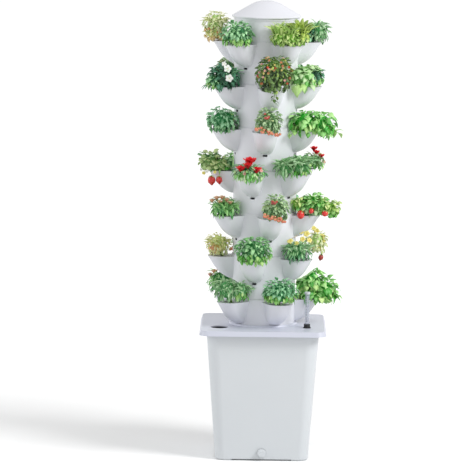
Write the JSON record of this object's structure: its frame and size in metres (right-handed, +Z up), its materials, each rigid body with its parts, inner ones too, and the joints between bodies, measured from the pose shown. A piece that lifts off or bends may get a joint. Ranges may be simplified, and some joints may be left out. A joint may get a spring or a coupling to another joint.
{
  "type": "hydroponic tower",
  "caption": "Free-standing hydroponic tower: square tank with lid, level gauge and pump, stacked tiers of planted pots that turn, and a domed cap.",
  "frame": {"origin": "centre of the tank's flat base, on the floor", "axes": "+Z up along the tower, -Y towards the side with the drain plug, +X towards the level gauge"},
  "size_m": [0.4238, 0.4249, 1.384],
  "materials": {
    "tank_plastic": "satin",
    "lid_plastic": "satin",
    "tower_plastic": "satin",
    "cup_plastic": "matte",
    "root_plug": "matte",
    "foliage": "matte",
    "black_rubber": "matte",
    "clear_tube": "gloss",
    "clear_cap": "gloss",
    "float_plastic": "matte",
    "pump_plastic": "matte",
    "pipe_plastic": "matte"
  },
  "bodies": {
    "tank": {"reservoir_tank": "tank_plastic", "drain_fitting": "tank_plastic", "drain_gasket": "black_rubber", "drain_nut": "tank_plastic", "pump_body": "pump_plastic", "pump_feet": "black_rubber", "pump_grille": "pump_plastic", "outlet_sleeve": "black_rubber", "riser_lower": "pipe_plastic", "riser_middle": "pipe_plastic", "riser_upper": "pipe_plastic", "riser_coupling_lower": "pipe_plastic", "riser_coupling_upper": "pipe_plastic"},
    "lid": {"reservoir_lid": "lid_plastic", "tower_socket": "lid_plastic", "gauge_foot": "black_rubber", "gauge_tube": "clear_tube", "gauge_cap": "clear_cap", "gauge_guide": "tower_plastic", "cable_grommet": "black_rubber", "tier_7": "tower_plastic", "net_cups_7": "cup_plastic", "root_plugs_7": "root_plug", "plants_7": "foliage"},
    "turning_tier_6": {"tier_6": "tower_plastic", "net_cups_6": "cup_plastic", "root_plugs_6": "root_plug", "plants_6": "foliage"},
    "turning_tier_5": {"tier_5": "tower_plastic", "net_cups_5": "cup_plastic", "root_plugs_5": "root_plug", "plants_5": "foliage"},
    "turning_tier_4": {"tier_4": "tower_plastic", "net_cups_4": "cup_plastic", "root_plugs_4": "root_plug", "plants_4": "foliage"},
    "turning_tier_3": {"tier_3": "tower_plastic", "net_cups_3": "cup_plastic", "root_plugs_3": "root_plug", "plants_3": "foliage"},
    "turning_tier_2": {"tier_2": "tower_plastic", "net_cups_2": "cup_plastic", "root_plugs_2": "root_plug", "plants_2": "foliage"},
    "turning_tier_1": {"tier_1": "tower_plastic", "net_cups_1": "cup_plastic", "root_plugs_1": "root_plug", "plants_1": "foliage", "top_header": "tower_plastic", "distributor_disc": "tower_plastic", "spreader": "tower_plastic"},
    "cap": {"top_cap": "tower_plastic"},
    "float": {"gauge_float": "float_plastic"},
    "seal": {"drain_seal": "black_rubber"},
    "plug": {"drain_plug": "tank_plastic"},
    "impeller": {"pump_impeller": "float_plastic"}
  },
  "joints": [
    {"name": "lid_lift", "type": "slide", "parent": "tank", "child": "lid", "axis": [0, 0, 1], "range_m": [0, 0.2]},
    {"name": "tier_6_turn", "type": "hinge", "parent": "lid", "child": "turning_tier_6", "pos_m": [0, 0, 0.466], "axis": [0, 0, 1], "continuous": true},
    {"name": "tier_5_turn", "type": "hinge", "parent": "turning_tier_6", "child": "turning_tier_5", "pos_m": [0, 0, 0.596], "axis": [0, 0, 1], "continuous": true},
    {"name": "tier_4_turn", "type": "hinge", "parent": "turning_tier_5", "child": "turning_tier_4", "pos_m": [0, 0, 0.726], "axis": [0, 0, 1], "continuous": true},
    {"name": "tier_3_turn", "type": "hinge", "parent": "turning_tier_4", "child": "turning_tier_3", "pos_m": [0, 0, 0.856], "axis": [0, 0, 1], "continuous": true},
    {"name": "tier_2_turn", "type": "hinge", "parent": "turning_tier_3", "child": "turning_tier_2", "pos_m": [0, 0, 0.986], "axis": [0, 0, 1], "continuous": true},
    {"name": "tier_1_turn", "type": "hinge", "parent": "turning_tier_2", "child": "turning_tier_1", "pos_m": [0, 0, 1.116], "axis": [0, 0, 1], "continuous": true},
    {"name": "cap_lift", "type": "slide", "parent": "turning_tier_1", "child": "cap", "axis": [0, 0, 1], "range_m": [0, 0.08]},
    {"name": "float_rise", "type": "slide", "parent": "lid", "child": "float", "axis": [0, 0, 1], "range_m": [0, 0.09]},
    {"name": "plug_travel", "type": "slide", "parent": "tank", "child": "seal", "axis": [0, -1, 0], "range_m": [0, 0.009]},
    {"name": "plug_turn", "type": "hinge", "parent": "seal", "child": "plug", "pos_m": [0, -0.14684, 0.024], "axis": [0, -1, 0], "range_deg": [0, 1080]},
    {"name": "impeller_spin", "type": "hinge", "parent": "tank", "child": "impeller", "pos_m": [0, -0.018, 0.038], "axis": [0, -1, 0], "continuous": true}
  ],
  "couplings": [
    {"joint": "plug_turn", "follows": "plug_travel", "rad_per_m": 2094.4}
  ]
}
